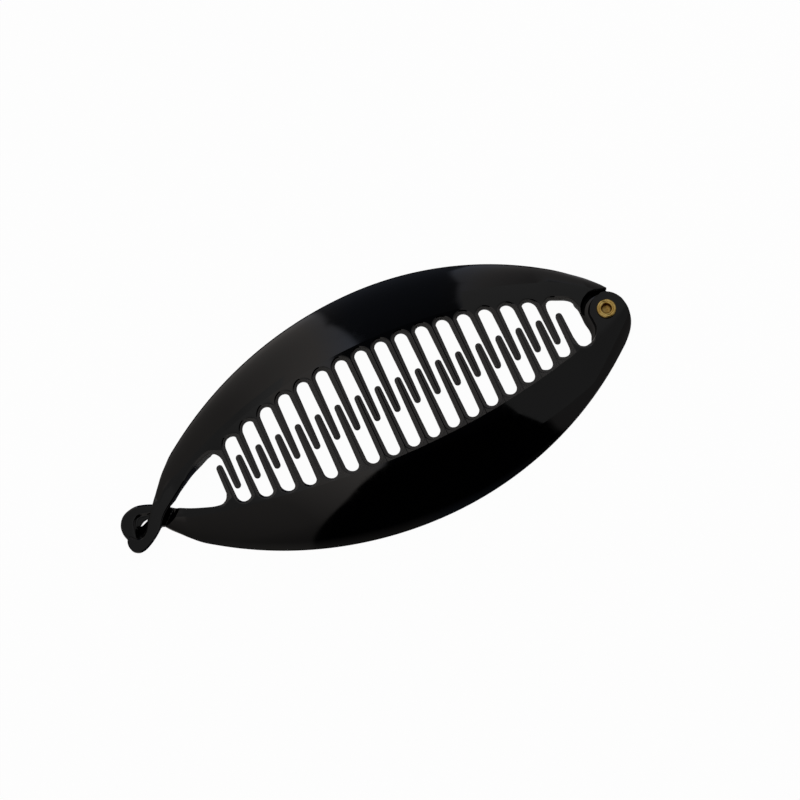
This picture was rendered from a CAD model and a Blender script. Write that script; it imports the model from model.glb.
"""Dresses the comb hair clip: glossy black jaws with bevelled slots, and a worn brass rivet.

Lengths are millimetres until a piece's points go into its mesh. A jaw is drawn towards +Y, and the
lower one is turned over the middle line at the end.
"""
import math

import bmesh
import bpy
import numpy as np
from mathutils import Matrix, Vector

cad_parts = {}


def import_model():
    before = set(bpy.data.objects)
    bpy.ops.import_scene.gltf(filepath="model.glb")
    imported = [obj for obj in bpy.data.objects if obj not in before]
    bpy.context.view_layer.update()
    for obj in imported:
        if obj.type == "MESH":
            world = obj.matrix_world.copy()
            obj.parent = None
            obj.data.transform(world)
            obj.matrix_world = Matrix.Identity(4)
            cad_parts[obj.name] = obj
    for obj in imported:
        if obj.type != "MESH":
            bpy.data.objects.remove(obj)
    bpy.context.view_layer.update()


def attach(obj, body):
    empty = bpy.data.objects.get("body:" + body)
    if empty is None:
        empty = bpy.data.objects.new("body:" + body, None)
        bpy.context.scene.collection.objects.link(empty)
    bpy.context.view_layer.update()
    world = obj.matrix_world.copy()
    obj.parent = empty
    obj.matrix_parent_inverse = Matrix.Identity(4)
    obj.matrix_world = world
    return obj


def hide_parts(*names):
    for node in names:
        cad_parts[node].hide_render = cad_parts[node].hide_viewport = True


MM = 0.001

# The clip's plan and arch, the same as the solids'
CROWN_HEIGHT = 11.2
ARCH_RADIUS = 225.0
ARCH_END = 54.0
EASE_RADIUS = 14.0
THICKNESS = 1.7
RIM_PEAK_X = 7.0
RIM_HALF_WIDTH = 33.35
COMB_PEAK_X = 6.0
COMB_HALF_WIDTH = 15.15
COMB_RADIUS = 170.0
SLOPE_TOP = math.radians(12)
SLOPE_RIM = math.radians(62)
NARROWEST_FLANGE = 5.5
NARROWEST_RIM = 6.8
PITCH = 5.82
TIP_REACH = 4.0
TIP_WIDTH = 1.82
TAPER = 0.034
SLOT_END_DEPTH = 1.7
PIVOT = (67.9, -1.2)
BOSS_RADIUS = 4.9
HOLE_RADIUS = 2.3
BORE_RADIUS = 1.36

# The upper jaw's end is cut round the boss, and leaves room for the lower jaw's end as it swings by:
# angles about the hinge in degrees, and the radius at each
RECESS_TURN = (50.0, 60.0, 68.0, 75.0, 85.0, 96.0, 110.0, 125.0, 137.0, 150.0, 165.0, 180.0, 210.0)
RECESS_RADIUS = (6.65, 6.4, 6.2, 6.12, 6.2, 6.5, 6.8, 6.95, 7.02, 6.98, 6.8, 6.43, 5.43)

# What differs between the jaws. short is how much shorter the slots are at places along the clip.
UPPER = {"teeth": 17, "first": -40.77, "reach": 4.5, "bow": 20000.0, "rim_radii": (102.5, 89.0),
         "crest_margin": 1.35, "creased_to": (90.0, 95.0),
         "short": ((-38.0, -31.0, -26.0), (0.35, 0.12, 0.0))}
LOWER = {"teeth": 18, "first": -43.32, "reach": 4.0, "bow": 1900.0, "rim_radii": (103.8, 97.0),
         "crest_margin": 0.9, "creased_to": (57.0, 65.0), "short": ((0.0,), (0.0,))}

# Ring round every opening: a matt slanting band, then a polished groove up to the level top. On a
# tooth both rings end beside a narrow polished ridge, a little right of its middle. ARM_RING is places
# along the arm by the hook, and how wide the ring is there. On an arm a ring takes up this share of
# the width at most, and MATT_BLEND is how soft the matt band's edge is.
MATT_SLOPE = 0.22
GROOVE_SLOPE = 0.45
RIDGE_SOFTNESS = 0.02
RING_WIDTH = 0.86
RING_MARGIN = 0.02
GROOVE_WIDTH = 0.36
TOOTH_GROOVE_WIDTH = 0.04
RIDGE_RIGHT = 0.23
RIDGE_LEFT = 0.01
ARM_RING = (-54.0, -48.0), (0.44, 1.15)
WIDEST_RING = 0.42
MATT_BLEND = 0.03

# Polished scoop in the left edges of the lower jaw's first slots
SCOOP_SLOPE = 0.25
SCOOP_WIDTH = 0.5

# Rounded edges: round an opening, at a rim, and at the rim of a hook or of the boss
EDGE_ROUND = 0.14
RIM_EDGE_ROUND = 0.1
HOOK_RIM_ROUND = 0.6
BOSS_EDGE_ROUND = 0.2
BOSS_RIM_ROUND = 0.25

# Where a rim stands on the table it ends at this height, and its rounding fades out near it
RIM_ROUND = 0.6
RIM_EDGE_HEIGHT = 0.3
RIM_FADE_HEIGHT = 0.4
FAR_FROM_RIM = 99.0

# Rows of points: millimetres from an opening's edge, shares of a web's width, and millimetres from a
# rim. A web takes up this share of the way to the rim where it has no crease.
EDGE_ROWS = np.array([0.0, 0.02, 0.06, 0.14])
WEB_ROWS = np.array([0.0, 0.1, 0.5, 0.92])
RIM_ROWS = np.array([0.6, 0.42, 0.26, 0.14, 0.05, 0.01, 0.0])
WEB_SHARE = 0.3

# Corners of two low cards over the clip's ends, which the level end faces reflect
CARD_HEIGHT = 90.0
RIVET_CARD = [(64, 40), (64, -10), (78, -50), (118, -125), (220, -125), (220, 150), (100, 150), (86, 110)]
HOOK_CARD = [(-40, -24), (-40, 110), (-170, 110), (-170, -24)]

# Steps along the parts of a jaw, and between two points of an arm's edge or of a plate's outline
TIP_STEPS = 6
SIDE_STEPS = 10
END_STEPS = 18
FLANGE_ROWS = 22
ARM_STEPS = 10
OUTLINE_STEPS = 6

# A jaw's wall is nowhere thinner than this
THINNEST = 0.05

# The arm by the hook has polished sides up to here
ARM_END = -49.5

# Width of the rib that stands under the upper arm
RIB_WIDTH = 2.2

# Under the hook the lower arm steps down: a place on the step and the direction across it, how steep
# and how soft it is, and the top and the underside of what lies beyond it
STEP_START = np.array([-57.4, 2.7])
STEP_ACROSS = np.array([-0.644, -0.765])
STEP_RAMP = 1.05
STEP_SOFTNESS = 0.12
UNDER_TOP = 2.2
UNDER_BOTTOM = 0.6

# The boss's side is steep where it stands over the lug: from one place along the clip, up to one place
# across it, and how steep and how wide
BOSS_WALL_START = 59.7
BOSS_WALL_END = 8.2
BOSS_WALL_SLOPE = 4.0
BOSS_WALL_WIDTH = 0.48

# Lug and catch: their undersides, how fast their tops fall, the floor of the catch's pocket, and how
# rounded their outer edges are
LUG_BOTTOM = 0.78
CATCH_BOTTOM = 0.45
FALL = 0.36
POCKET_FLOOR = 1.75
PLATE_EDGE = 0.2
CATCH_EDGE = 0.9

# Points on a ring of the lug, the catch and the rivet
LUG_SIDES = 160
CATCH_SIDES = 200
RIVET_SIDES = 96

# Points that round to the same place on a grid with this many steps to a millimetre are one point
MERGE_GRID = 2e4
SHARP_ANGLE = math.radians(35.0)

# Half the soft width of a reflected panel's edge, as a direction. The table's size in metres, and the
# light that it gives off, which makes it nearly as white as the background.
PANEL_EDGE = 0.012
TABLE_RADIUS = 2.5
TABLE_GLOW = 0.973


def comb_height(x):
    """Top of the comb: an arc along the clip that eases out to level ends."""
    turn = math.asin(ARCH_END / ARCH_RADIUS)
    end_height = CROWN_HEIGHT - (ARCH_RADIUS + EASE_RADIUS) * (1 - math.cos(turn))
    far = np.abs(x)
    arch = CROWN_HEIGHT - ARCH_RADIUS + np.sqrt(ARCH_RADIUS**2 - np.minimum(far, ARCH_END) ** 2)
    to_level = np.clip(ARCH_END + EASE_RADIUS * math.sin(turn) - far, 0, EASE_RADIUS * math.sin(turn))
    ease = end_height + EASE_RADIUS - np.sqrt(EASE_RADIUS**2 - to_level**2)
    return np.where(far < ARCH_END, arch, ease)


def bow(x, peak, half_width, radius):
    """Half width of an outline that is one arc about its widest place."""
    return half_width - radius + np.sqrt(radius**2 - (x - peak) ** 2)


def comb_half_width(x):
    """Half width of the comb with its teeth's roots: one arc."""
    return bow(x, COMB_PEAK_X, COMB_HALF_WIDTH, COMB_RADIUS)


def rim_half_width(jaw, x):
    """Half width at the rim: an arc on each side of the widest place."""
    hook_radius, rivet_radius = jaw["rim_radii"]
    towards_hook = bow(np.minimum(x, RIM_PEAK_X), RIM_PEAK_X, RIM_HALF_WIDTH, hook_radius)
    towards_rivet = bow(np.maximum(x, RIM_PEAK_X), RIM_PEAK_X, RIM_HALF_WIDTH, rivet_radius)
    return np.where(x < RIM_PEAK_X, towards_hook, towards_rivet)


def crest_and_rim(jaw, x):
    """Where the level comb turns into the falling flange, and where the flange meets the table."""
    rim = np.maximum(rim_half_width(jaw, x), NARROWEST_RIM)
    crest = np.maximum(comb_half_width(x) + jaw["crest_margin"], NARROWEST_RIM - NARROWEST_FLANGE)
    return np.minimum(crest, rim - NARROWEST_FLANGE), rim


def crease(jaw, x):
    """How full the crease along the crest is: it fades out towards the clip's ends."""
    return np.interp(np.abs(x), jaw["creased_to"], (1.0, 0.0))


def top_height(jaw, x, y):
    """Height of the upper face, and the cosine of its slope: level, then a round that steepens."""
    crest, rim = crest_and_rim(jaw, x)
    share = np.clip((y - crest) / (rim - crest), 0, 1.1)
    slope = SLOPE_TOP * crease(jaw, x)
    sine = np.sin(slope) + share * (math.sin(SLOPE_RIM) - np.sin(slope))
    cosine = np.sqrt(1 - sine**2)
    drop = (np.cos(slope) - cosine) / (np.cos(slope) - math.cos(SLOPE_RIM))
    return comb_height(x) * (1 - drop), np.where(y > crest, cosine, 1.0)


def above_zero(value, softness=RIDGE_SOFTNESS):
    """A value where it is positive, with a soft start."""
    return np.sqrt(np.maximum(value, 0) ** 2 + softness**2) - softness


def ring_drop(distance, matt_end, ring_end):
    """How far a ring lies below the level at a distance from the opening's edge: a gentle slope on its
    matt band, a steeper one in its groove."""
    matt = above_zero(matt_end - distance)
    return MATT_SLOPE * matt + GROOVE_SLOPE * above_zero(ring_end - np.maximum(distance, matt_end))


def edge_drop(distance, radius):
    """How far a rounded edge lies below the face that it ends: a quarter circle."""
    near = np.clip(radius - distance, 0, radius)
    return radius - np.sqrt(radius**2 - near**2)


def through(knots, per_span):
    """Smooth open line through the knots by Catmull-Rom spans, per_span steps each."""
    knots = np.array(knots, float)
    padded = np.vstack([2 * knots[0] - knots[1], knots, 2 * knots[-1] - knots[-2]])
    t = (np.arange(per_span) / per_span)[None, :, None]
    before, start, end, after = (padded[k : len(padded) - 3 + k][:, None] for k in range(4))
    spans = start * (1 - 3 * t**2 + 2 * t**3) + end * (3 * t**2 - 2 * t**3)
    spans = spans + ((end - before) * (t - 2 * t**2 + t**3) + (after - start) * (t**3 - t**2)) / 2
    return np.vstack([spans.reshape(-1, knots.shape[1]), knots[-1:]])


def away(line):
    """Unit normals on the left of a line's own direction."""
    tangent = np.gradient(line, axis=0)
    tangent = tangent / np.linalg.norm(tangent, axis=1, keepdims=True)
    return np.stack([-tangent[:, 1], tangent[:, 0]], -1)


def tooth_half_width(y):
    """Half width of a tooth, which grows evenly towards its root."""
    return (TIP_WIDTH + TAPER * (y + TIP_REACH)) / 2


def tooth_side(jaw, index, side):
    """One side of a tooth: a quarter circle at its tip, then a flank that leans out evenly as far as its
    root. Then the tooth's middle line beside it."""
    centre = jaw["first"] + PITCH * index
    reach = jaw["reach"] - (centre - COMB_PEAK_X) ** 2 / (2 * jaw["bow"])
    radius = TIP_WIDTH / 2
    turn = np.linspace(0, math.pi / 2, TIP_STEPS + 1)[:-1]
    start = -reach + radius
    root = comb_half_width(centre) - SLOT_END_DEPTH - np.interp(centre, *jaw["short"])
    y = np.linspace(start, root, SIDE_STEPS + 1)
    tip = np.stack([centre + side * radius * np.sin(turn), start - radius * np.cos(turn)], -1)
    flank = np.stack([centre + side * tooth_half_width(y), y], -1)
    flank[0, 0] = centre + side * radius
    edge = np.vstack([tip, flank])
    middle_y = np.concatenate([np.full(TIP_STEPS, start), y])
    return edge, np.stack([np.full(len(middle_y), centre), middle_y], -1)


def slot_round(left, right, short, lift):
    """Round end of a slot between two tooth sides' roots, and the line that its ring ends on: the same
    half ellipse moved out, which meets the middle lines of both teeth. Then how far round it each
    point is, from 0 at the roots to 1 at the end. short shortens it, and lift skews it: its right half
    is moved out and its left half in."""
    turn = np.linspace(-math.pi / 2, math.pi / 2, END_STEPS + 1)[1:-1]
    middle = (left[0][-1, 0] + right[0][-1, 0]) / 2
    half = (right[0][-1, 0] - left[0][-1, 0]) / 2
    x = middle + half * np.sin(turn)
    share = (x - left[0][-1, 0]) / (2 * half)
    low = left[0][-1, 1] * (1 - share) + right[0][-1, 1] * share
    top = comb_half_width(middle) - short - (left[0][-1, 1] + right[0][-1, 1]) / 2
    edge = np.stack([x, low + (top + lift * np.sin(turn)) * np.cos(turn)], -1)
    normal = np.stack([np.sin(turn) / half, np.cos(turn) / top], -1)
    normal = normal / np.linalg.norm(normal, axis=1, keepdims=True)
    to_middle = left[0][-1, 0] - left[1][-1, 0]
    width = RING_WIDTH + (to_middle - RING_WIDTH) * np.sin(turn) ** 4
    return edge, edge + normal * width[:, None], np.cos(turn)


def band(path):
    """Strip between an opening's edge and the line that its ring ends on. Its rows lie at distances
    from the edge that follow the ring's matt band and groove."""
    edge, ridge, matt_end, ring_end = (path[key] for key in ("edge", "ridge", "matt_end", "ring_end"))
    reach = np.linalg.norm(ridge - edge, axis=1)
    near = EDGE_ROWS[:, None] * np.ones_like(reach)
    rows = np.vstack([near, 0.5 * (matt_end + EDGE_ROWS[-1]), matt_end - 0.02, matt_end + 0.02,
                      ring_end - 0.02, ring_end, 0.5 * (ring_end + reach), reach])
    rows = np.maximum.accumulate(np.minimum(rows, reach), axis=0)
    return edge[None] + ((ridge - edge) / reach[:, None])[None] * rows[..., None], rows


def strip(jaw, ridge, outer):
    """Plan points from the ring's outer line out to the rim, with one row on the crest line, and how
    far each is from the rim."""
    share = np.full(len(ridge), WEB_SHARE)
    for _ in range(6):
        x = ridge[:, 0] + share * (outer[:, 0] - ridge[:, 0])
        across = np.where(np.abs(outer[:, 1] - ridge[:, 1]) < 0.5, 0.5, outer[:, 1] - ridge[:, 1])
        share = np.clip((crest_and_rim(jaw, x)[0] - ridge[:, 1]) / across, 0.004, 0.5)
    share = WEB_SHARE + (share - WEB_SHARE) * crease(jaw, outer[:, 0])
    web = WEB_ROWS[:, None] * share[None]
    length = np.linalg.norm(outer - ridge, axis=1)
    near_rim = RIM_ROWS[:, None] / np.maximum(length, 4 * RIM_ROUND)[None]
    flange = np.linspace(0, 1, FLANGE_ROWS)[:-1, None]
    flange = share[None] + (1 - near_rim[0][None] - share[None]) * flange
    rows = np.vstack([web, flange, 1 - near_rim])
    return ridge[None] + rows[..., None] * (outer - ridge)[None], (1 - rows) * length[None]


def upper_face(jaw, plan, given):
    """Heights of a jaw's upper face: the level or falling face, less the rings and the rounded edges.
    Where the rim stands on the table it ends a little above it, so that it has an edge of its own."""
    height, cosine = top_height(jaw, plan[:, 0], plan[:, 1])
    height = height - given["ring"] * ring_drop(given["distance"], given["matt_end"], given["ring_end"])
    height = height - edge_drop(given["distance"], given["round_edge"])
    height = height - SCOOP_SLOPE * above_zero(given["scoop"] - given["distance"])
    rounded = edge_drop(given["to_rim"], given["round_rim"])
    height = height - rounded * np.clip(height - RIM_FADE_HEIGHT, 0, 1)
    near = np.sqrt(np.clip(1 - given["to_rim"] / RIM_ROUND, 0, 1))
    return np.maximum(height, RIM_EDGE_HEIGHT * near), cosine


def mesh_piece(name, points, faces, sharp_lines=(), matt=None):
    """Object from points in millimetres and four-sided faces: equal points become one, faces that
    shrink to nothing are left out, and edges sharper than an angle shade as edges. So do the edges in
    sharp_lines, pairs of point numbers. matt says how matt the surface is at each point."""
    keys = np.round(points * MERGE_GRID).astype(np.int64)
    _, first, same = np.unique(keys, axis=0, return_index=True, return_inverse=True)
    same = same.reshape(-1)
    corners = same[faces]
    triangles = np.vstack([corners[:, [0, 1, 2]], corners[:, [0, 2, 3]]])
    a, b, c = triangles.T
    triangles = triangles[(a != b) & (b != c) & (a != c)]
    mesh = bpy.data.meshes.new(name)
    mesh.from_pydata((points[first] * MM).tolist(), [], triangles.tolist())
    shell = bmesh.new()
    shell.from_mesh(mesh)
    bmesh.ops.recalc_face_normals(shell, faces=shell.faces)
    shell.to_mesh(mesh)
    shell.free()
    mesh.shade_smooth()
    mesh.set_sharp_from_angle(angle=SHARP_ANGLE)
    if len(sharp_lines):
        ends = np.zeros(len(mesh.edges) * 2, np.int32)
        mesh.edges.foreach_get("vertices", ends)
        ends = np.sort(ends.reshape(-1, 2), 1)
        wanted = np.sort(same[np.array(sharp_lines)], 1)
        flags = np.zeros(len(mesh.edges), bool)
        mesh.attributes["sharp_edge"].data.foreach_get("value", flags)
        code = np.array([len(first), 1])
        flags |= np.isin(ends @ code, wanted @ code)
        mesh.attributes["sharp_edge"].data.foreach_set("value", flags)
    made = mesh.attributes.new("matt", "FLOAT", "POINT")
    made.data.foreach_set("value", np.zeros(len(first)) if matt is None else matt[first])
    piece = bpy.data.objects.new(name, mesh)
    bpy.context.scene.collection.objects.link(piece)
    return piece


def grid_faces(rows, columns, start=0, closed_rows=False, closed_columns=False):
    """Four-sided faces of a grid of points in rows and columns, whose first point has the number start."""
    number = start + np.arange(rows * columns).reshape(rows, columns)
    if closed_rows:
        number = np.vstack([number, number[:1]])
    if closed_columns:
        number = np.hstack([number, number[:, :1]])
    faces = np.stack([number[:-1, :-1], number[:-1, 1:], number[1:, 1:], number[1:, :-1]], -1)
    return faces.reshape(-1, 4)


def jaw_shell(name, jaw, paths, finish, turned, hole):
    """Shell of a jaw. The ring of each path runs from edge to ridge, and the ridge points low..high
    carry the columns out to the rim. finish changes the heights of the two faces, turned moves the jaw
    over the middle line, and hole is a round hole or a round end: a centre, angles about it, and the
    radius at each."""
    centre, turns, radii = hole
    of_edge = ("matt_end", "ring_end", "ring", "round_edge", "scoop")
    amounts = ("distance", *of_edge, "to_rim", "round_rim", "matt")
    plans, given, faces, crests = [], [], [], []
    start = 0
    for path in paths:
        columns = slice(path["low"], path["high"])
        plan, distance = band(path)
        matt = path["ring"] * np.clip((path["matt_end"] - distance) / MATT_BLEND + 0.5, 0, 1)
        matt = matt * (distance >= path["scoop"]) * path["matt_ring"]
        values = [distance, *(path[key] for key in of_edge), FAR_FROM_RIM, RIM_EDGE_ROUND, matt]
        given.append(np.stack([np.broadcast_to(value, distance.shape).reshape(-1) for value in values]))
        plans.append(plan.reshape(-1, 2))
        faces.append(grid_faces(*distance.shape, start))
        start += distance.size
        ridge = path["ridge"][columns]
        plan, to_rim = strip(jaw, ridge, path["outer"])
        reach = np.linalg.norm(ridge - path["edge"][columns], axis=1)
        distance = np.linalg.norm(plan - ridge[None], axis=2) + reach
        matt = np.zeros_like(to_rim)
        matt[: len(WEB_ROWS)] = path["matt_web"]
        values = [distance, *(path[key][columns] for key in of_edge), to_rim, path["round_rim"], matt]
        given.append(np.stack([np.broadcast_to(value, to_rim.shape).reshape(-1) for value in values]))
        plans.append(plan.reshape(-1, 2))
        faces.append(grid_faces(*to_rim.shape, start))
        line = start + len(WEB_ROWS) * to_rim.shape[1] + np.arange(to_rim.shape[1])
        crests.append(np.stack([line[:-1], line[1:]], -1)[path["creased"]])
        start += to_rim.size
    plan = np.vstack(plans)
    given = dict(zip(amounts, np.hstack(given)))
    keys = np.round(plan * MERGE_GRID).astype(np.int64)
    _, first, same = np.unique(keys, axis=0, return_index=True, return_inverse=True)
    joined = first[same.reshape(-1)][np.vstack(faces)]
    across = plan - centre
    turn = np.degrees(np.arctan2(across[:, 1], across[:, 0])) % 360
    radius = np.hypot(*across.T) / np.interp(turn, turns, radii)
    hit = (radius[joined] < 1).any(1)
    edge = np.unique(joined[hit])
    edge = edge[radius[edge] >= 1]
    plan[edge] = centre + across[edge] / radius[edge][:, None]
    joined = joined[~hit]
    top, cosine = upper_face(jaw, plan, given)
    bottom = top_height(jaw, plan[:, 0], plan[:, 1])[0] - THICKNESS / cosine
    top, bottom = finish(plan, given["distance"], top, bottom)
    bottom = np.clip(bottom, 0, np.maximum(top - THINNEST, 0))
    points = np.vstack([np.column_stack([plan, top]), np.column_stack([plan, bottom])])
    sides = np.stack([joined, np.roll(joined, -1, 1)], -1).reshape(-1, 2)
    sides = sides[sides[:, 0] != sides[:, 1]]
    code = np.sort(sides, 1) @ [len(plan), 1]
    _, where, count = np.unique(code, return_index=True, return_counts=True)
    border = sides[where[count == 1]]
    walls = np.column_stack([border[:, ::-1], border + len(plan)])
    every = np.vstack([joined, joined[:, ::-1] + len(plan), walls])
    if turned:
        points = points * [1, -1, 1]
    matt = np.concatenate([given["matt"], given["matt"] * (plan[:, 0] > ARM_END)])
    return mesh_piece(name, points, every, np.vstack(crests), matt)


def path_of(line, ring=1.0, round_edge=EDGE_ROUND, round_rim=RIM_EDGE_ROUND, creased=True, matt_web=0.0,
            scoop=0.0, matt_ring=1.0):
    """A path with its amounts given for every point of it. line holds the edge, the ridge, how far
    the ring keeps from the ridge, the groove's width, the first and last carried points, and the rim."""
    edge, ridge, margin, groove, low, high, outer = line
    ring_end = np.linalg.norm(ridge - edge, axis=1) - margin
    return {
        "edge": edge,
        "ridge": ridge,
        "ring_end": ring_end,
        "matt_end": ring_end - groove,
        "low": low,
        "high": high,
        "outer": outer,
        "ring": np.broadcast_to(ring, len(edge)),
        "round_edge": np.broadcast_to(round_edge, len(edge)),
        "round_rim": np.broadcast_to(round_rim, high - low),
        "creased": np.broadcast_to(creased, high - low - 1),
        "matt_web": np.broadcast_to(matt_web, high - low),
        "scoop": np.broadcast_to(scoop, len(edge)),
        "matt_ring": np.broadcast_to(matt_ring, len(edge)),
    }


def comb_paths(jaw, groove, skew, scoop, matt_web):
    """Paths of the slots between all the teeth, from tip to tip. groove is the width of the ring's
    groove round a slot's end. Three amounts are given as places along the clip and values there: how
    far skewed the slots' ends are, how wide their left edges are scooped, and how matt the webs are
    beside the ridges."""
    paths = []
    for index in range(jaw["teeth"] - 1):
        left = tooth_side(jaw, index, 1)
        right = tooth_side(jaw, index + 1, -1)
        middle = (left[1][0, 0] + right[1][0, 0]) / 2
        lift, scoop_width, web = (np.interp(middle, *amount) for amount in (skew, scoop, matt_web))
        edge, ridge, round_share = slot_round(left, right, np.interp(middle, *jaw["short"]), lift)
        edges = np.vstack([left[0], edge, right[0][::-1]])
        ridges = np.vstack([left[1], ridge, right[1][::-1]])
        low = len(left[0]) - 1
        high = low + len(edge) + 2
        round_share = np.concatenate([np.zeros(low + 1), round_share, np.zeros(len(right[0]))])
        on_left = np.arange(len(edges)) < len(edges) / 2
        side_margin = np.where(on_left, RIDGE_RIGHT, RIDGE_LEFT)
        margin = side_margin + (RING_MARGIN - side_margin) * round_share
        width = TOOTH_GROOVE_WIDTH + (groove - TOOTH_GROOVE_WIDTH) * np.minimum(2 * round_share, 1)
        scooped = scoop_width * on_left * np.sin(math.pi * np.minimum(round_share, 0.5))
        x = ridges[low:high, 0]
        outer = np.stack([x, rim_half_width(jaw, x)], -1)
        beside_ridge = (x - left[1][0, 0] > RIDGE_RIGHT) & (right[1][0, 0] - x > RIDGE_LEFT)
        line = edges, ridges, margin, width, low, high, outer
        paths.append(path_of(line, matt_web=web * beside_ridge, scoop=scooped))
    return paths


def ridge_beside(edge, outer, ring_width):
    """The line that a ring ends on, on the left of an edge and never past the middle of the arm."""
    width = np.linalg.norm(outer - edge, axis=1)
    return edge + away(edge) * np.minimum(ring_width, WIDEST_RING * width)[:, None]


def hook_path(jaw, inner, outer, corner):
    """Path of the opening by the hook: along the arm, round the window's corner and down the first
    tooth. inner and outer are matched points on the two edges of the arm, from its end. corner takes
    the place of the last points of the tooth's side, by its root."""
    side, middle = tooth_side(jaw, 0, -1)
    side[-len(corner) :] = corner[::-1]
    edge, out = through(inner, ARM_STEPS), through(outer, ARM_STEPS)
    x = middle[-1, 0]
    outer_line = np.vstack([out, [[x, rim_half_width(jaw, x)]]])
    edges = np.vstack([edge, side[::-1]])
    width = np.interp(edge[:, 0], *ARM_RING)
    ridges = np.vstack([ridge_beside(edge, out, width), middle[::-1]])
    on_tooth = np.arange(len(edges)) >= len(edge)
    margin = np.where(on_tooth, RIDGE_LEFT, RING_MARGIN)
    groove = np.where(on_tooth, TOOTH_GROOVE_WIDTH, GROOVE_WIDTH)
    return edges, ridges, margin, groove, 0, len(edge) + 1, outer_line


def rivet_path(jaw, inner, outer, corner):
    """Path of the opening by the rivet: up the last tooth, round the window's corner and on to the
    shell's end."""
    side, middle = tooth_side(jaw, jaw["teeth"] - 1, 1)
    side[-len(corner) :] = corner
    edge, out = through(inner, ARM_STEPS), through(outer, ARM_STEPS)
    x = middle[-1, 0]
    outer_line = np.vstack([[[x, rim_half_width(jaw, x)]], out])
    edges = np.vstack([side, edge])
    ridges = np.vstack([middle, ridge_beside(edge, out, RING_WIDTH)])
    on_tooth = np.arange(len(edges)) < len(side)
    margin = np.where(on_tooth, RIDGE_RIGHT, RING_MARGIN)
    groove = np.where(on_tooth, TOOTH_GROOVE_WIDTH, GROOVE_WIDTH)
    return edges, ridges, margin, groove, len(side) - 1, len(edges), outer_line


def ground_line(jaw, xs):
    """Points of the rim at places along the clip."""
    xs = np.array(xs, float)
    return [tuple(p) for p in np.stack([xs, rim_half_width(jaw, xs)], -1)]


def star_line(points, centre, angles):
    """Distance of a smooth closed outline from a centre, at each angle."""
    loop = through(np.vstack([points[-2:], points, points[:2]]), OUTLINE_STEPS)
    loop = loop[2 * OUTLINE_STEPS : -OUTLINE_STEPS]
    turn = np.arctan2(loop[:, 1] - centre[1], loop[:, 0] - centre[0])
    radius = np.hypot(loop[:, 0] - centre[0], loop[:, 1] - centre[1])
    order = np.argsort(turn)
    return np.interp(angles, turn[order], radius[order], period=2 * math.pi)


def plate(name, centre, angles, rows):
    """Closed plate with a hole: each row is (distance from the centre at each angle, height), and the
    last row joins the first."""
    ring = np.stack([np.cos(angles), np.sin(angles)], -1)
    centre = np.array(centre)
    points = [np.column_stack([centre + ring * radius[:, None], height]) for radius, height in rows]
    faces = grid_faces(len(rows), len(angles), 0, True, True)
    return mesh_piece(name, np.vstack(points), faces)


def upper_jaw():
    """Upper jaw: hook, arm and window, then slots, then the end that is cut round the boss. Inner and
    outer edges are smooth lines through matched points, with arcs of the rim in between."""
    inner = [(-72.8, -3.5), (-73.25, -4.2), (-73.6, -5.2), (-73.6, -6.3), (-73.25, -7.35),
             (-72.6, -8.05), (-71.5, -8.55), (-70.0, -8.45), (-68.2, -7.7), (-66.5, -6.7), (-65.0, -5.6),
             (-63.6, -4.4), (-62.6, -3.1), (-61.4, -1.9), (-60.1, -0.9), (-58.8, 0.0), (-57.2, 1.1),
             (-55.3, 2.4), (-53.4, 3.7), (-50.9, 5.3), (-48.6, 6.2), (-46.4, 6.95), (-44.4, 7.35),
             (-43.1, 6.9)]
    outer = [(-72.35, -3.5), (-72.0, -3.6), (-71.6, -4.15), (-71.2, -4.6), (-70.8, -4.95),
             (-70.3, -5.15), (-69.6, -5.25), (-68.9, -5.1), (-67.9, -4.4), (-67.2, -3.4), (-66.3, -1.9),
             (-65.0, -0.05), (-63.7, 1.7), (-62.3, 3.7), (-61.2, 5.25), (-60.0, 6.85), (-58.9, 8.3),
             (-57.0, 10.4)]
    outer += ground_line(UPPER, [-54.6, -51.6, -48.8, -46.2, -43.9, -42.6])
    line = hook_path(UPPER, inner, outer, [(-42.6, 6.4), (-42.1, 5.6)])
    to_tip = np.clip((-60.0 - line[0][:, 0]) / 6, 0, 1)
    rim = line[-1]
    round_rim = RIM_EDGE_ROUND + HOOK_RIM_ROUND * np.clip((-58.0 - rim[:, 0]) / 2, 0, 1)
    hook = path_of(line, 1 - to_tip, EDGE_ROUND, round_rim, rim[1:, 0] > -58.0,
                   matt_ring=np.clip((line[0][:, 0] - ARM_END) / 1.5, 0, 1))
    inner = [(54.3, 7.4), (55.3, 7.7), (57.2, 6.9), (59.1, 5.95), (60.35, 4.8), (60.95, 3.1),
             (61.3, 1.2), (62.0, -0.6), (63.0, -1.6)]
    outer = ground_line(UPPER, [54.0, 56.2, 60.2])
    outer += [(64.0, 12.5), (66.6, 10.05), (68.25, 8.1), (69.6, 6.35), (70.4, 5.05), (71.1, 3.85)]
    rivet = path_of(rivet_path(UPPER, inner, outer, [(53.55, 5.9), (53.8, 6.75)]))

    def finish(plan, edge, top, bottom):
        """Lower the rib that stands under the arm beside the window."""
        places = [-59.2, -57.6, -55.5, -53.0, -51.0, -47.2, -45.9, -44.3, -43.4, -43.2]
        heights = [2.5, 1.3, 1.7, 1.0, 0.5, 1.1, 1.9, 2.8, 5.5, 12.0]
        foot = np.interp(plan[:, 0], places, heights)
        in_rib = (edge < RIB_WIDTH) & (plan[:, 0] > places[0])
        return top, np.where(in_rib, np.minimum(bottom, foot), bottom)

    none = (0.0,), (0.0,)
    skew = (-40.0, -20.0, 10.0, 45.0), (-0.6, -0.3, 0.0, 0.3)
    paths = [hook] + comb_paths(UPPER, GROOVE_WIDTH, skew, none, none) + [rivet]
    recess = np.array(PIVOT), RECESS_TURN, RECESS_RADIUS
    return jaw_shell("upper_jaw_shell", UPPER, paths, finish, False, recess)


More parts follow.
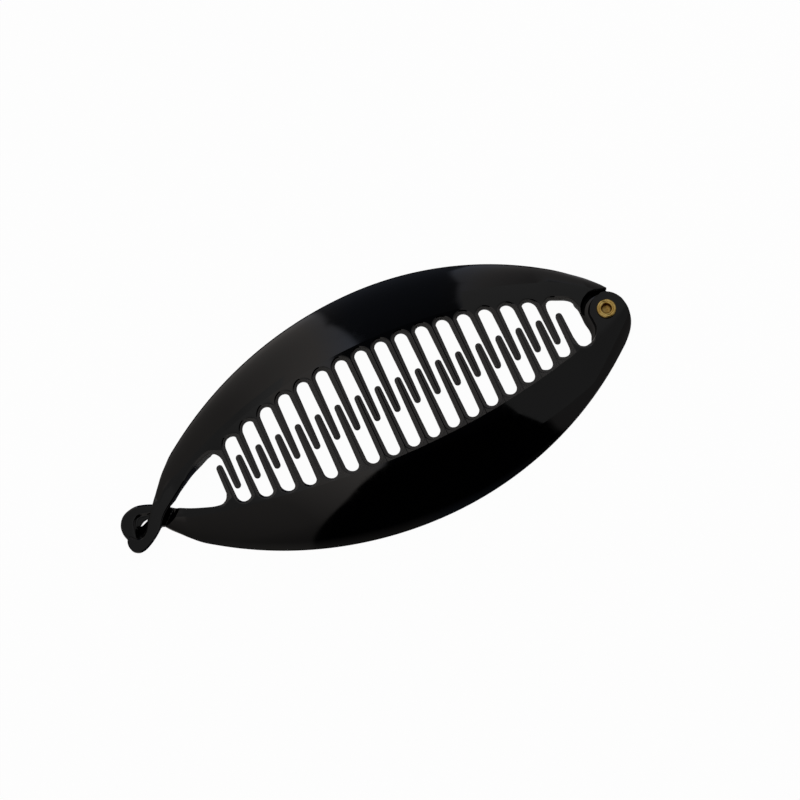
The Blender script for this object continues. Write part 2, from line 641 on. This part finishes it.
def lower_jaw():
    """Lower jaw: an arm that steps down and ends under the hook, slots, and the boss, which is a circle
    that widens a little where it runs into the rim. Its edges are made as the upper jaw's are."""
    inner = [(-64.2, 2.1), (-62.6, 1.2), (-61.0, 0.75), (-59.6, 0.85), (-58.85, 1.2), (-57.8, 1.8),
             (-56.4, 2.6), (-53.9, 3.9), (-51.0, 5.2), (-48.6, 6.15), (-46.6, 6.5), (-45.35, 6.0)]
    outer = [(-64.35, 2.35), (-63.6, 3.4), (-62.8, 4.6), (-61.9, 5.7), (-61.2, 6.5), (-60.0, 7.8),
             (-58.1, 9.9)]
    outer += ground_line(LOWER, [-55.4, -51.9, -48.9, -46.9, -45.3])
    line = hook_path(LOWER, inner, outer, [(-44.85, 5.4), (-44.5, 4.7)])
    rim = line[-1]
    to_tip = np.clip((-45.5 - line[0][:, 0]) / 2.5, 0, 1)
    round_rim = RIM_EDGE_ROUND + HOOK_RIM_ROUND * np.clip((-56.5 - rim[:, 0]) / 2, 0, 1)
    hook = path_of(line, 1 - to_tip, EDGE_ROUND, round_rim, rim[1:, 0] > -56.0)
    centre = np.array([PIVOT[0], -PIVOT[1]])
    turn = np.radians([190, 206, 222, 238, 252, 262, 354, 340, 324, 308, 292, 278])
    radius = BOSS_RADIUS + np.array([0, 0, 0, 0, 0, 0, 0.32, 0.17, 0.07, 0.02, 0, 0])[:, None]
    boss = [tuple(point) for point in centre + radius * np.stack([np.cos(turn), np.sin(turn)], -1)]
    inner = [(57.1, 6.8), (57.5, 7.4), (58.5, 7.95), (59.7, 7.85), (60.8, 7.2), (61.8, 6.3), (62.5, 5.5),
             (63.15, 4.0), (63.15, 2.4)] + boss[:6]
    outer = ground_line(LOWER, [56.6, 57.6, 60.2, 63.6, 67.2, 69.4])
    outer += [(71.6, 8.3), (72.9, 6.1), (73.4, 3.3)]
    line = rivet_path(LOWER, inner, outer + boss[6:], [(56.8, 5.2), (56.92, 6.0)])
    rim = line[-1]
    to_boss = np.clip((line[0][:, 0] - 60.4) / 1.2, 0, 1)
    round_rim = RIM_EDGE_ROUND + BOSS_RIM_ROUND * np.clip((rim[:, 0] - 70.0) / 2, 0, 1)
    end = path_of(line, 1 - to_boss, EDGE_ROUND + BOSS_EDGE_ROUND * to_boss, round_rim, rim[1:, 0] < 60.0)

    def finish(plan, edge, top, bottom):
        """Step the arm down to where the hook passes over it, and give the boss a steep side."""
        beyond = (plan - STEP_START) @ STEP_ACROSS
        ramp = comb_height(plan[:, 0]) - STEP_RAMP * above_zero(beyond, STEP_SOFTNESS)
        under = (beyond > 0) & (plan[:, 0] < STEP_START[0] + 0.3)
        top = np.where(under, np.minimum(top, np.maximum(UNDER_TOP, ramp)), top)
        beside_boss = np.clip((plan[:, 0] - BOSS_WALL_START) / 1.5, 0, 1) * (plan[:, 1] < BOSS_WALL_END)
        top = top - BOSS_WALL_SLOPE * beside_boss * np.clip(BOSS_WALL_WIDTH - edge, 0, None)
        return top, np.where(under, np.minimum(bottom, UNDER_BOTTOM), bottom)

    skew = (-40.0, -28.0, 15.0, 52.0), (-0.6, 0.0, 0.0, 0.8)
    scoop = (-20.0, -8.0), (SCOOP_WIDTH, 0.0)
    matt_web = (-14.0, -4.0), (0.0, 1.0)
    paths = [hook] + comb_paths(LOWER, TOOTH_GROOVE_WIDTH, skew, scoop, matt_web) + [end]
    return jaw_shell("lower_jaw_shell", LOWER, paths, finish, True, (centre, (0.0,), (HOLE_RADIUS,)))


def rounded_side(outside, low, high, edge):
    """Rows of a plate's outer side, from its top to its underside: a quarter circle of radius edge, then
    one a fifth as large."""
    level = np.ones_like(outside)
    rows = []
    for turn in np.radians([90, 67, 45, 22, 0]):
        rows.append((outside - edge * (1 - math.cos(turn)), (high - edge * (1 - math.sin(turn))) * level))
    small = 0.2 * edge
    for turn in np.radians([0, 22, 45, 67, 90]):
        rows.append((outside - small * (1 - math.cos(turn)), (low + small * (1 - math.sin(turn))) * level))
    return rows


def hinge_lug():
    """Plate of the upper jaw under the boss, with the rivet's hole: its outline is a smooth closed line,
    and its top is level under the boss and slopes away from it."""
    outline = np.array([(62.3, 7.4), (60.85, 4.6), (61.25, 2.4), (61.3, 0.1), (61.3, -1.8),
                        (61.6, -3.8), (61.5, -5.4), (60.9, -6.6), (60.9, -7.3), (62.0, -7.2),
                        (63.4, -6.0), (65.6, -5.3), (67.9, -5.9), (70.4, -5.2), (72.2, -3.2),
                        (72.5, -0.9), (71.7, 1.3), (70.6, 3.2), (70.1, 4.7), (69.0, 6.2),
                        (66.2, 7.5)])
    angles = np.linspace(-math.pi, math.pi, LUG_SIDES, endpoint=False)
    outside = star_line(outline, PIVOT, angles)
    level = np.ones(LUG_SIDES)
    start = np.minimum(BOSS_RADIUS - 0.2, outside - 0.4)
    rim_top = UNDER_TOP - FALL * (outside - start)
    rows = [(HOLE_RADIUS * level, LUG_BOTTOM * level), (HOLE_RADIUS * level, 2.12 * level),
            ((HOLE_RADIUS + 0.08) * level, UNDER_TOP * level), (start, UNDER_TOP * level)]
    rows += rounded_side(outside, LUG_BOTTOM, rim_top, PLATE_EDGE)
    return plate("upper_jaw_lug", PIVOT, angles, rows)


def catch_curl():
    """Round catch under the hook: a thick round wall that rolls inwards, round a pocket with a narrow
    eye through its floor."""
    outline = np.array([(-56.3, -2.9), (-59.1, -0.6), (-61.5, 1.2), (-63.6, 2.5), (-66.2, 3.55),
                        (-68.1, 3.9), (-69.9, 3.7), (-71.5, 3.15), (-72.75, 2.15), (-73.6, 0.75),
                        (-73.9, -0.6), (-73.8, -2.25), (-73.05, -4.05), (-71.3, -5.4), (-69.2, -6.1),
                        (-67.0, -5.8), (-65.2, -4.9), (-63.6, -4.15), (-62.2, -4.8), (-60.5, -5.2),
                        (-57.0, -5.2)])
    pocket = np.array([(-65.0, -0.2), (-66.6, 0.1), (-68.3, 0.35), (-69.2, -0.4), (-69.6, -1.5),
                       (-70.0, -2.8), (-70.2, -3.9), (-69.3, -4.4), (-68.0, -3.7), (-66.6, -2.9),
                       (-65.2, -1.6)])
    eye = np.array([(-68.95, -1.65), (-68.2, -1.05), (-67.3, -0.65), (-66.3, -0.6), (-66.6, -1.1),
                    (-67.5, -1.5), (-68.3, -1.75)])
    centre = (-67.6, -1.2)
    angles = np.linspace(-math.pi, math.pi, CATCH_SIDES, endpoint=False)
    outside, wall, slit = (star_line(line, centre, angles) for line in (outline, pocket, eye))
    level = np.ones(CATCH_SIDES)
    ring = np.stack([np.cos(angles), np.sin(angles)], -1)

    def floor(radius):
        """The pocket's floor is level behind the eye and falls away in front of it."""
        return POCKET_FLOOR - FALL * np.maximum(-radius * ring[:, 1] - 0.2, 0)

    halfway = 0.5 * (slit + wall)
    foot = floor(wall) + 0.1
    rows = [(slit, CATCH_BOTTOM * level), (slit, floor(slit) - 0.08), (slit + 0.07, floor(slit + 0.07)),
            (halfway, floor(halfway)), (wall - 0.05, floor(wall)), (wall, foot)]
    roll = np.minimum(1.3, 0.6 * (outside - wall))
    for turn in np.linspace(-1, 1, 8)[1:]:
        share = 0.5 + 0.5 * math.sin(turn * math.pi / 2)
        rows.append((wall + roll * (0.5 + 0.5 * turn), foot + (UNDER_TOP - foot) * share))
    rows += rounded_side(outside, CATCH_BOTTOM, UNDER_TOP * level, CATCH_EDGE)
    return plate("lower_jaw_catch", centre, angles, rows)


def hinge_rivet():
    """Semi-tubular rivet: a profile turned about the hinge, with a rolled rim round a blind bore."""
    profile = np.array([(0, 3.3), (0.6, 3.32), (1.0, 3.42), (1.25, 3.6), (1.33, 3.85), (1.35, 4.2),
                        (1.35, 4.62), (1.38, 4.76), (1.46, 4.88), (1.56, 4.94), (1.7, 4.96),
                        (1.84, 4.93), (1.93, 4.88), (2.02, 4.93), (2.16, 4.98), (2.32, 4.95),
                        (2.46, 4.86), (2.56, 4.74), (2.63, 4.6), (2.62, 4.5), (2.5, 4.46),
                        (2.1, 4.46), (2.0, 4.4), (2.0, 0.6), (2.05, 0.53), (2.5, 0.53), (2.6, 0.46),
                        (2.63, 0.38), (2.5, 0.25), (2.1, 0.15), (1.4, 0.1), (0, 0.08)])
    angles = np.linspace(0, 2 * math.pi, RIVET_SIDES, endpoint=False)
    ring = np.stack([np.cos(angles), np.sin(angles)], -1)
    points = np.concatenate([
        np.array(PIVOT) + profile[:, None, :1] * ring[None],
        np.broadcast_to(profile[:, None, 1:], (len(profile), RIVET_SIDES, 1)),
    ], -1)
    in_bore = (profile[:, 0] < BORE_RADIUS) & (profile[:, 1] > 3) & (profile[:, 1] < 4.7)
    faces = grid_faces(len(profile), RIVET_SIDES, 0, False, True)
    matt = in_bore * np.where(profile[:, 0] < 1.1, 0.45, 1.0)
    matt = np.repeat(matt, RIVET_SIDES)
    return mesh_piece("hinge_rivet_turned", points.reshape(-1, 3), faces, matt=matt)


def linear(hex_colour):
    """sRGB hex as linear light."""
    value = np.array([int(hex_colour[i : i + 2], 16) for i in (0, 2, 4)]) / 255
    return (*np.where(value <= 0.04045, value / 12.92, ((value + 0.055) / 1.055) ** 2.4), 1.0)


def node(tree, kind, inputs=(), **settings):
    """Adds a node, sets it, and fills its inputs, by name or in their order, with values, with other
    nodes' outputs, or with other nodes, which stand for their first outputs."""
    made = tree.nodes.new(kind)
    for name, value in settings.items():
        setattr(made, name, value)
    for name, value in inputs.items() if isinstance(inputs, dict) else enumerate(inputs):
        if isinstance(value, bpy.types.Node):
            value = value.outputs[0]
        if isinstance(value, bpy.types.NodeSocket):
            tree.links.new(value, made.inputs[name])
        else:
            made.inputs[name].default_value = value
    return made


def moulded_polystyrene():
    """Injection-moulded black polystyrene: a polished mould gives it a near mirror gloss, and flow and
    cooling leave the face very slightly wavy, so that reflected edges wander a little. Round the
    openings the mould is matt, which scatters the light to an even dark grey."""
    material = bpy.data.materials.new("moulded_black_polystyrene")
    material.use_nodes = True
    tree = material.node_tree
    shader = tree.nodes["Principled BSDF"]
    place = node(tree, "ShaderNodeTexCoord").outputs["Object"]
    matt = node(tree, "ShaderNodeAttribute", attribute_name="matt").outputs["Fac"]
    # waves of about 18 mm, handling marks of about 2 mm, and the matt mould's grain of about 0.2 mm
    waves = node(tree, "ShaderNodeTexNoise", {"Vector": place, "Scale": 55.0, "Detail": 1.0})
    marks = node(tree, "ShaderNodeTexNoise", {"Vector": place, "Scale": 500.0, "Detail": 3.0})
    grain = node(tree, "ShaderNodeTexNoise", {"Vector": place, "Scale": 5000.0, "Detail": 2.0})
    gloss = node(tree, "ShaderNodeMapRange", (marks, 0.4, 0.75, 0.05, 0.09))
    rough = node(tree, "ShaderNodeMix", {0: matt, 2: gloss, 3: 0.5})
    black, grey = linear("020203"), linear("4A4948")
    colour = node(tree, "ShaderNodeMix", {0: matt, 6: black, 7: grey}, data_type="RGBA")
    bump = node(tree, "ShaderNodeBump", {"Height": waves, "Strength": 0.25, "Distance": 0.4 * MM})
    fine = node(tree, "ShaderNodeBump", {"Height": grain, "Strength": matt, "Distance": 0.01 * MM,
                                         "Normal": bump})
    tree.links.new(fine.outputs["Normal"], shader.inputs["Normal"])
    tree.links.new(rough.outputs[0], shader.inputs["Roughness"])
    tree.links.new(colour.outputs[2], shader.inputs["Base Color"])
    shader.inputs["IOR"].default_value = 1.5
    return material


def turned_brass():
    """Turned brass, set by rolling its rim over: fine rings round its axis that catch the light in thin
    arcs, and a darker, browner tone where tarnish has stayed."""
    material = bpy.data.materials.new("turned_brass")
    material.use_nodes = True
    tree = material.node_tree
    shader = tree.nodes["Principled BSDF"]
    place = node(tree, "ShaderNodeTexCoord").outputs["Object"]
    tarnish = node(tree, "ShaderNodeTexNoise", {"Vector": place, "Scale": 900.0, "Detail": 3.0})
    tone = node(tree, "ShaderNodeValToRGB", {"Fac": tarnish.outputs["Fac"]})
    tone.color_ramp.elements[0].position = 0.35
    tone.color_ramp.elements[0].color = linear("CFA552")
    tone.color_ramp.elements[1].position = 0.6
    tone.color_ramp.elements[1].color = linear("F6D583")
    # the turning marks are 0.26 mm apart, round the rivet's own axis
    hinge = PIVOT[0] * MM, PIVOT[1] * MM, 0
    axis = node(tree, "ShaderNodeVectorMath", {0: place, 1: hinge}, operation="SUBTRACT")
    turned = node(tree, "ShaderNodeTexWave", {"Vector": axis.outputs[0], "Scale": 1200.0},
                  wave_type="RINGS", rings_direction="Z")
    rings = {"Height": turned.outputs["Fac"], "Strength": 0.4, "Distance": 0.01 * MM}
    marks = node(tree, "ShaderNodeBump", rings)
    tree.links.new(marks.outputs["Normal"], shader.inputs["Normal"])
    # the bore is rougher and browner than the rolled rim
    matt = node(tree, "ShaderNodeAttribute", attribute_name="matt").outputs["Fac"]
    brown = linear("7E5420")
    colour = node(tree, "ShaderNodeMix", {0: matt, 6: tone, 7: brown}, data_type="RGBA")
    rough = node(tree, "ShaderNodeMix", {0: matt, 2: 0.26, 3: 0.45})
    tree.links.new(colour.outputs[2], shader.inputs["Base Color"])
    tree.links.new(rough.outputs[0], shader.inputs["Roughness"])
    shader.inputs["Metallic"].default_value = 1.0
    return material


def studio():
    """Pale table that is lit evenly, and two large soft panels overhead with a dark gap between. The
    panels are a sky that depends on direction alone: x is along the clip, y across it, z up."""
    world = bpy.data.worlds.new("studio")
    bpy.context.scene.world = world
    world.use_nodes = True
    tree = world.node_tree
    background = tree.nodes["Background"]
    direction = node(tree, "ShaderNodeTexCoord").outputs["Generated"]
    x, y, z = node(tree, "ShaderNodeSeparateXYZ", [direction]).outputs
    # A spread carries its value from one range to another, without going past its ends.
    spread, sums = "ShaderNodeMapRange", "ShaderNodeMath"
    smooth = {"interpolation_type": "SMOOTHSTEP"}
    times, plus, minus = ({"operation": kind} for kind in ("MULTIPLY", "ADD", "SUBTRACT"))
    # places along x where the two panels end, beside the gap between them
    front = node(tree, spread, (y, -0.95, -0.15, -0.45, -0.01))
    back = node(tree, spread, (z, 0.1, 0.8, -0.022, 0.062))
    left_end = node(tree, spread, (y, 0.25, 0.42, front, back), **smooth)
    back = node(tree, spread, (z, -0.3, 0.25, 0.31, 0.38))
    right_end = node(tree, spread, (y, -0.75, 0.15, 0.53, back), **smooth)
    # the left panel's light falls off to the left, low down, and in front
    left = node(tree, sums, (x, left_end), **minus)
    left = node(tree, spread, (left, PANEL_EDGE, -PANEL_EDGE, 0, 1), **smooth)
    for fall in ((x, -0.38, 0.05, 0.24, 0.68), (z, -0.35, 1.0, 0.40, 1.10), (y, -1.0, -0.75, 0.6, 1.1)):
        left = node(tree, sums, (left, node(tree, spread, fall)), **times)
    # the right panel's light falls off to the right, low down, and beside the gap in front
    right = node(tree, sums, (x, right_end), **minus)
    right = node(tree, spread, (right, -PANEL_EDGE, PANEL_EDGE, 0, 1), **smooth)
    beside = node(tree, spread, (y, 0.35, 0.5, 0.08, 0.38))
    for fall in ((x, 0.40, 0.56, beside, 0.21), (z, -0.35, 1.0, 0.7, 1.05)):
        right = node(tree, sums, (right, node(tree, spread, fall)), **times)
    # a little light in the gap: from the back of the room, from the very bottom, and low down in front
    total = node(tree, sums, (left, right), **plus)
    lowest = node(tree, spread, (y, -0.6, -0.85, 0.0, 0.12))
    for part in ((y, -0.3, 0.9, 0.0, 0.075), (z, -0.5, -0.8, 0.0, 0.03), (z, 0.05, -0.25, 0.0, lowest)):
        total = node(tree, sums, (total, node(tree, spread, part)), **plus)
    tree.links.new(total.outputs[0], background.inputs["Strength"])
    # warm light from both panels, and daylight in the gap between them
    daylight = node(tree, sums, (node(tree, spread, (x, -0.08, 0.06, 0.0, 1.0)),
                                 node(tree, spread, (x, 0.3, 0.45, 1.0, 0.15))), **times)
    warm, cool = linear("FFF8F3"), linear("DCE6FF")
    tint = node(tree, "ShaderNodeMix", {0: daylight, 6: warm, 7: cool}, data_type="RGBA")
    tree.links.new(tint.outputs[2], background.inputs["Color"])
    seen = node(tree, "ShaderNodeBackground", {"Color": linear("FDFDFD"), "Strength": 1.0})
    mix = node(tree, "ShaderNodeMixShader", {
        0: node(tree, "ShaderNodeLightPath").outputs["Is Camera Ray"],
        1: background.outputs[0],
        2: seen.outputs[0],
    })
    tree.links.new(mix.outputs[0], tree.nodes["World Output"].inputs["Surface"])

    turn = np.linspace(0, 2 * math.pi, 96, endpoint=False)
    round_table = TABLE_RADIUS * np.stack([np.cos(turn), np.sin(turn), 0 * turn], -1)
    table, _ = flat_sheet("table", round_table, "lit_white_acrylic", "303030", TABLE_GLOW)
    table.visible_glossy = False
    # each card glows more towards one end: the axis, the two places on it, and the glow at each
    for name, corners, axis, (start, end, low, high) in (
        ("rivet_card", RIVET_CARD, 1, (-0.01, 0.02, 0.23, 0.33)),
        ("hook_card", HOOK_CARD, 0, (-0.075, -0.03, 0.26, 0.50)),
    ):
        corners = np.column_stack([corners, np.full(len(corners), CARD_HEIGHT)]) * MM
        card, shader = flat_sheet(name, corners, name, "000000", high)
        tree = shader.id_data
        place = node(tree, "ShaderNodeSeparateXYZ", [node(tree, "ShaderNodeTexCoord").outputs["Object"]])
        glow = node(tree, spread, (place.outputs[axis], start, end, low, high))
        tree.links.new(glow.outputs[0], shader.inputs["Emission Strength"])
        card.visible_camera = False
        card.visible_diffuse = False
        card.visible_shadow = False
    bpy.context.scene.view_settings.view_transform = "Standard"


def flat_sheet(name, corners, material_name, colour, glow):
    """Part of the studio: one flat face that gives off its own light. Returned with its shader."""
    mesh = bpy.data.meshes.new(name)
    mesh.from_pydata(corners.tolist(), [], [range(len(corners))])
    sheet = bpy.data.objects.new(name, mesh)
    bpy.context.scene.collection.objects.link(sheet)
    material = bpy.data.materials.new(material_name)
    material.use_nodes = True
    shader = material.node_tree.nodes["Principled BSDF"]
    shader.inputs["Base Color"].default_value = linear(colour)
    shader.inputs["Roughness"].default_value = 0.9
    shader.inputs["Emission Color"].default_value = linear("FFFFFF")
    shader.inputs["Emission Strength"].default_value = glow
    mesh.materials.append(material)
    return sheet, shader


def make_camera():
    """The photograph's own view: almost from above, from the near side, turned in the picture."""
    lean_x, lean_y, spin = map(math.radians, (2.7, 14.0, 24.56))
    away_from_clip = Vector((-math.sin(lean_x), -math.sin(lean_y), 0))
    away_from_clip.z = math.sqrt(1 - away_from_clip.length_squared)
    along = Vector((1, 0, 0))
    along = (along - away_from_clip * along.dot(away_from_clip)).normalized()
    across = away_from_clip.cross(along)
    right = math.cos(spin) * along - math.sin(spin) * across
    up = math.sin(spin) * along + math.cos(spin) * across
    camera = bpy.data.objects.new("camera", bpy.data.cameras.new("camera"))
    bpy.context.scene.collection.objects.link(camera)
    place = Matrix((right, up, away_from_clip)).transposed().to_4x4()
    place.translation = Vector((0.00758, -0.00085, 0.006)) + 0.7 * away_from_clip
    camera.matrix_world = place
    camera.data.sensor_width = 36
    camera.data.lens = 118.87
    camera.data.clip_start = 0.01
    bpy.context.scene.camera = camera


def main():
    """Lights the clip, makes its pieces, ties each one to its body and node, and notes the two boxes."""
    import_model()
    make_camera()
    studio()
    polystyrene, brass = moulded_polystyrene(), turned_brass()
    for piece, body, node_name, slot, finish in (
        (upper_jaw(), "upper", "upper_jaw", "black_plastic", polystyrene),
        (hinge_lug(), "upper", "upper_jaw", "black_plastic", polystyrene),
        (lower_jaw(), "lower", "lower_jaw", "black_plastic", polystyrene),
        (catch_curl(), "lower", "lower_jaw", "black_plastic", polystyrene),
        (hinge_rivet(), "upper", "hinge_rivet", "brass", brass),
    ):
        piece.data.materials.append(finish)
        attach(piece, body)
        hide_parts(node_name)


main()
